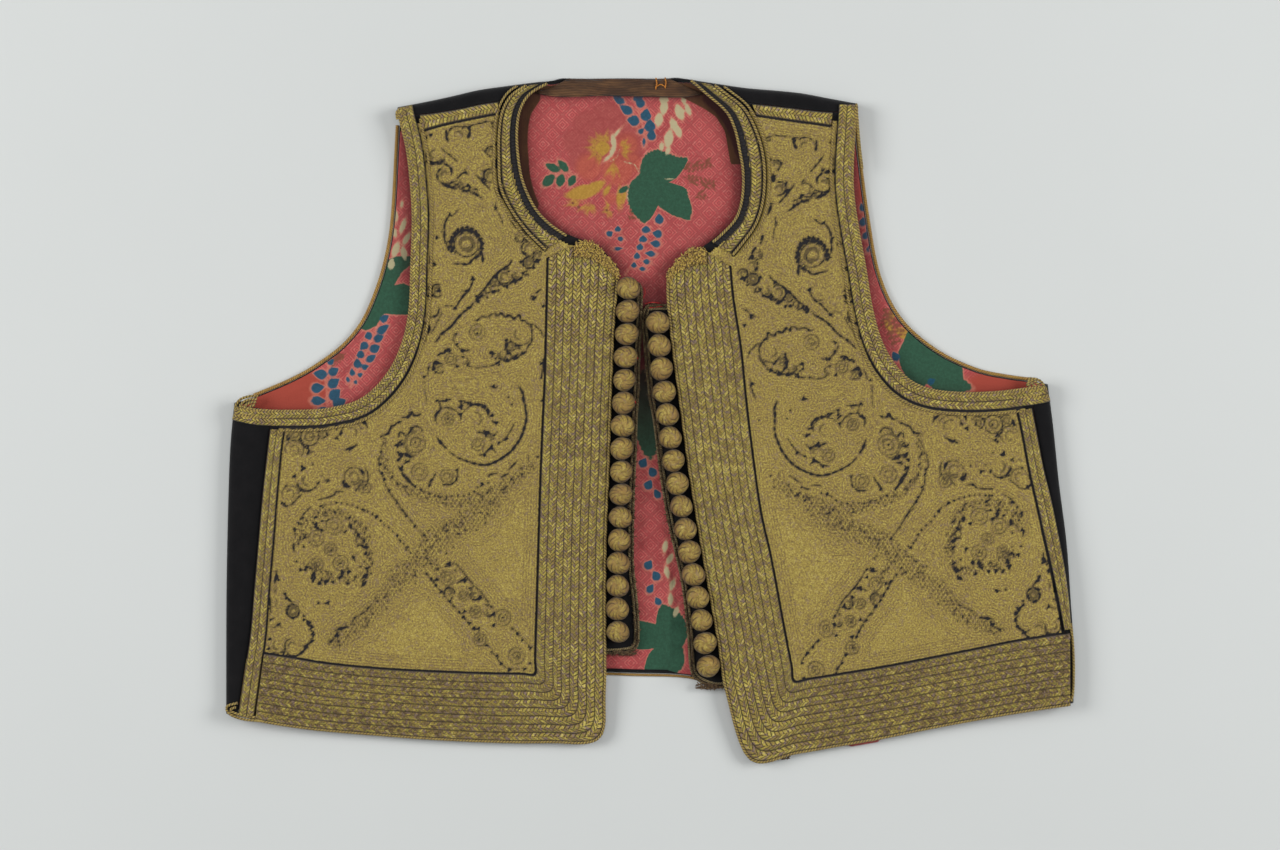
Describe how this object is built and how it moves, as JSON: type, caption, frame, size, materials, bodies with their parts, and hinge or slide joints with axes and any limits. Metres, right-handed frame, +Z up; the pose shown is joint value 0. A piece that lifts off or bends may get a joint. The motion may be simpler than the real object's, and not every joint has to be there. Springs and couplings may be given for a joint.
{
  "type": "waistcoat",
  "caption": "Sleeveless folk waistcoat of black wool, its fronts covered in couched gold scrolls and edged with plaited braid, with thread buttons down both edges, laid flat.",
  "frame": {"origin": "middle of the vest's box, on the surface it lies on", "axes": "+X across the vest to the viewer's right, +Y up to the shoulders, +Z up off the surface through the cloth"},
  "size_m": [0.4658, 0.3746, 0.0157],
  "materials": {
    "back_wool": "matte fulled wool, black, fine wrinkles",
    "lining": "printed plain cotton, pink red with leaves and flowers, worn flat",
    "facing": "ribbed silk, brown, soft sheen",
    "couched_gold": "close couched gold cord over black wool, low metallic sheen",
    "braid": "plaited gold and mauve thread, tarnished",
    "strip_wool": "matte black cloth edged in chain stitch",
    "button_thread": "wound gold thread, tarnished",
    "piping": "rolled orange gold cord"
  },
  "bodies": {
    "root": {"armhole_braid_left": "braid", "armhole_braid_right": "braid", "armhole_piping_left": "piping", "armhole_piping_right": "piping", "back": "back_wool", "back_lining": "lining", "border_left": "braid", "border_right": "braid", "button_left_01": "button_thread", "button_left_02": "button_thread", "button_left_03": "button_thread", "button_left_04": "button_thread", "button_left_05": "button_thread", "button_left_06": "button_thread", "button_left_07": "button_thread", "button_left_08": "button_thread", "button_left_09": "button_thread", "button_left_10": "button_thread", "button_left_11": "button_thread", "button_left_12": "button_thread", "button_left_13": "button_thread", "button_left_14": "button_thread", "button_left_15": "button_thread", "button_left_16": "button_thread", "button_right_01": "button_thread", "button_right_02": "button_thread", "button_right_03": "button_thread", "button_right_04": "button_thread", "button_right_05": "button_thread", "button_right_06": "button_thread", "button_right_07": "button_thread", "button_right_08": "button_thread", "button_right_09": "button_thread", "button_right_10": "button_thread", "button_right_11": "button_thread", "button_right_12": "button_thread", "button_right_13": "button_thread", "button_right_14": "button_thread", "button_right_15": "button_thread", "button_right_16": "button_thread", "button_strip_left": "strip_wool", "button_strip_right": "strip_wool", "front_left": "couched_gold", "front_lining_left": "lining", "front_lining_right": "lining", "front_right": "couched_gold", "hem_piping": "piping", "neck_braid_left": "braid", "neck_braid_right": "braid", "neck_facing": "facing", "shoulder_braid_left": "braid", "shoulder_braid_right": "braid", "side_braid_left": "braid", "side_braid_right": "braid"}
  },
  "joints": []
}
